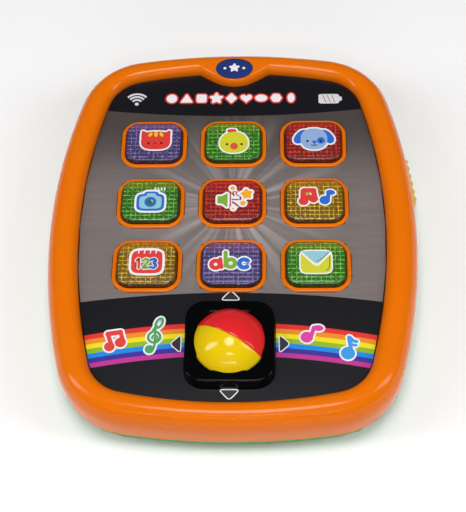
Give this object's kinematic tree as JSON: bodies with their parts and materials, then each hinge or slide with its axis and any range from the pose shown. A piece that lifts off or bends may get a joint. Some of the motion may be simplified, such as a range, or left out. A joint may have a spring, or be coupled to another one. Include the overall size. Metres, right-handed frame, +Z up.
{
  "type": "toy tablet",
  "caption": "Toddler's toy tablet: rounded two-shell case with a raised rim, a grid of clear picture keys, a two-tone roller ball in a square bezel and a sliding side switch.",
  "frame": {"origin": "middle of the flat underside, under the centre of the case", "axes": "+Z up out of the printed face, +Y towards the badge end, +X towards the side switch"},
  "size_m": [0.1812, 0.209, 0.0458],
  "materials": {
    "ball_red": "glossy red",
    "ball_yellow": "glossy yellow",
    "black_abs": "glossy black",
    "black_plastic": "matt black",
    "cell_can": "metal can in a printed sleeve",
    "circuit_board": "solder-masked board",
    "green_abs": "semi-gloss moulded green",
    "key_amber": "clear tinted, prismatic underside",
    "key_green": "clear tinted, prismatic underside",
    "key_purple": "clear tinted, prismatic underside",
    "key_red": "clear tinted, prismatic underside",
    "knob_yellow": "moulded yellow",
    "label_film": "printed die-cut film",
    "natural_plastic": "natural moulded plastic",
    "navy_badge": "glossy printed dome",
    "orange_abs": "glossy moulded orange",
    "plated_steel": "nickel-plated",
    "printed_overlay": "printed clear-coated sheet",
    "screw_steel": "zinc-plated",
    "silicone": "moulded silicone",
    "wire_black": "insulated wire",
    "wire_red": "insulated wire"
  },
  "bodies": {
    "housing": {"badge": "navy_badge", "ball_bezel": "black_abs", "ball_cradle": "black_plastic", "battery_a": "cell_can", "battery_b": "cell_can", "battery_lead_black": "wire_black", "battery_lead_red": "wire_red", "board_screw_1": "screw_steel", "board_screw_2": "screw_steel", "board_screw_3": "screw_steel", "board_screw_4": "screw_steel", "case_screw_1": "screw_steel", "case_screw_2": "screw_steel", "case_screw_3": "screw_steel", "case_screw_4": "screw_steel", "case_screw_5": "screw_steel", "case_screw_6": "screw_steel", "contact_bridge": "plated_steel", "contact_negative": "plated_steel", "contact_positive": "plated_steel", "cradle_screw_1": "screw_steel", "cradle_screw_2": "screw_steel", "faceplate": "printed_overlay", "front_shell": "orange_abs", "key_membrane": "silicone", "main_board": "circuit_board", "rear_shell": "green_abs", "slide_switch": "plated_steel", "speaker": "plated_steel", "speaker_lead": "natural_plastic", "speaker_ring": "black_plastic"},
    "key_cat": {"key_cat": "key_purple", "label_cat": "label_film"},
    "key_chick": {"key_chick": "key_green", "label_chick": "label_film"},
    "key_dog": {"key_dog": "key_red", "label_dog": "label_film"},
    "key_camera": {"key_camera": "key_green", "label_camera": "label_film"},
    "key_sound": {"key_sound": "key_red", "label_sound": "label_film"},
    "key_music": {"key_music": "key_amber", "label_music": "label_film"},
    "key_calendar": {"key_calendar": "key_amber", "label_calendar": "label_film"},
    "key_letters": {"key_letters": "key_purple", "label_letters": "label_film"},
    "key_mail": {"key_mail": "key_green", "label_mail": "label_film"},
    "ball_core": {"ball_core": "natural_plastic"},
    "ball_shell": {"ball_half_red": "ball_red", "ball_half_yellow": "ball_yellow"},
    "scroll_roller": {"scroll_roller": "natural_plastic"},
    "side_roller": {"side_roller": "natural_plastic"},
    "volume_switch": {"switch_knob": "knob_yellow", "switch_stem": "black_plastic"},
    "battery_door": {"battery_door": "green_abs", "battery_door_screw": "screw_steel"}
  },
  "joints": [
    {"name": "press_cat", "type": "slide", "parent": "housing", "child": "key_cat", "axis": [0, 0, 1], "range_m": [-0.0016, 0], "stiffness_N_per_m": 600, "springref_m": 0.001},
    {"name": "press_chick", "type": "slide", "parent": "housing", "child": "key_chick", "axis": [0, 0, 1], "range_m": [-0.0016, 0], "stiffness_N_per_m": 600, "springref_m": 0.001},
    {"name": "press_dog", "type": "slide", "parent": "housing", "child": "key_dog", "axis": [0, 0, 1], "range_m": [-0.0016, 0], "stiffness_N_per_m": 600, "springref_m": 0.001},
    {"name": "press_camera", "type": "slide", "parent": "housing", "child": "key_camera", "axis": [0, 0, 1], "range_m": [-0.0016, 0], "stiffness_N_per_m": 600, "springref_m": 0.001},
    {"name": "press_sound", "type": "slide", "parent": "housing", "child": "key_sound", "axis": [0, 0, 1], "range_m": [-0.0016, 0], "stiffness_N_per_m": 600, "springref_m": 0.001},
    {"name": "press_music", "type": "slide", "parent": "housing", "child": "key_music", "axis": [0, 0, 1], "range_m": [-0.0016, 0], "stiffness_N_per_m": 600, "springref_m": 0.001},
    {"name": "press_calendar", "type": "slide", "parent": "housing", "child": "key_calendar", "axis": [0, 0, 1], "range_m": [-0.0016, 0], "stiffness_N_per_m": 600, "springref_m": 0.001},
    {"name": "press_letters", "type": "slide", "parent": "housing", "child": "key_letters", "axis": [0, 0, 1], "range_m": [-0.0016, 0], "stiffness_N_per_m": 600, "springref_m": 0.001},
    {"name": "press_mail", "type": "slide", "parent": "housing", "child": "key_mail", "axis": [0, 0, 1], "range_m": [-0.0016, 0], "stiffness_N_per_m": 600, "springref_m": 0.001},
    {"name": "ball_forward_roll", "type": "hinge", "parent": "housing", "child": "ball_core", "pos_m": [0, -0.0648, 0.027], "axis": [1, 0, 0], "continuous": true},
    {"name": "ball_side_roll", "type": "hinge", "parent": "ball_core", "child": "ball_shell", "pos_m": [0, -0.0648, 0.027], "axis": [0, 1, 0], "continuous": true},
    {"name": "scroll_roller_spin", "type": "hinge", "parent": "housing", "child": "scroll_roller", "pos_m": [0, -0.04635, 0.01635], "axis": [1, 0, 0], "continuous": true},
    {"name": "side_roller_spin", "type": "hinge", "parent": "housing", "child": "side_roller", "pos_m": [0.01845, -0.0648, 0.01635], "axis": [0, 1, 0], "continuous": true},
    {"name": "volume_slide", "type": "slide", "parent": "housing", "child": "volume_switch", "axis": [-0.1214, 0.9926, 0], "range_m": [-0.004, 0.004]},
    {"name": "battery_door_swing", "type": "hinge", "parent": "housing", "child": "battery_door", "pos_m": [0, 0.0184, 0.0002], "axis": [-1, 0, 0], "range_deg": [0, 60]}
  ],
  "couplings": [
    {"joint": "scroll_roller_spin", "follows": "ball_forward_roll", "ratio": -9.5},
    {"joint": "side_roller_spin", "follows": "ball_side_roll", "ratio": -9.5}
  ]
}
